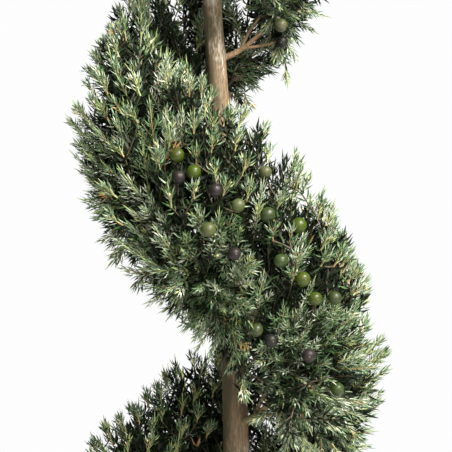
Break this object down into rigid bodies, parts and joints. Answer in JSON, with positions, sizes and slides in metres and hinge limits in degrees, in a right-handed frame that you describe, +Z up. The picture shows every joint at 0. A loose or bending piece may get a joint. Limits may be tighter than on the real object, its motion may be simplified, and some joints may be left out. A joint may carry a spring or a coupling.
{
  "type": "spiral topiary",
  "caption": "Rooted conifer clipped as a left-handed spiral: a bent tapering trunk, boughs, a ribbon of foliage masses winding round it and a small pointed tuft on top.",
  "frame": {"origin": "centre of the flat cut under the trunk, at ground level", "axes": "+Z up along the trunk; -Y is the front, from which the ribbon falls from upper left to lower right"},
  "size_m": [0.1989, 0.1994, 1.23],
  "materials": {
    "bark": "weathered fibrous bark, grey-brown with paler ridges, matt",
    "foliage": "short waxy blue-green needles in upright sprays, with yellow-green tips",
    "berry": "round berries, green to dark purple, with a waxy bloom"
  },
  "bodies": {
    "root": {"trunk": "bark", "bough_01": "bark", "foliage_01": "foliage", "bough_02": "bark", "foliage_02": "foliage", "bough_03": "bark", "foliage_03": "foliage", "bough_04": "bark", "foliage_04": "foliage", "bough_05": "bark", "foliage_05": "foliage", "bough_06": "bark", "foliage_06": "foliage", "bough_07": "bark", "foliage_07": "foliage", "bough_08": "bark", "foliage_08": "foliage", "bough_09": "bark", "foliage_09": "foliage", "bough_10": "bark", "foliage_10": "foliage", "bough_11": "bark", "foliage_11": "foliage", "bough_12": "bark", "foliage_12": "foliage", "bough_13": "bark", "foliage_13": "foliage", "bough_14": "bark", "foliage_14": "foliage", "bough_15": "bark", "foliage_15": "foliage", "bough_16": "bark", "foliage_16": "foliage", "bough_17": "bark", "foliage_17": "foliage", "bough_18": "bark", "foliage_18": "foliage", "bough_19": "bark", "foliage_19": "foliage", "bough_20": "bark", "foliage_20": "foliage", "bough_21": "bark", "foliage_21": "foliage", "bough_22": "bark", "foliage_22": "foliage", "bough_23": "bark", "foliage_23": "foliage", "bough_24": "bark", "foliage_24": "foliage", "top_tuft": "foliage"}
  },
  "joints": []
}
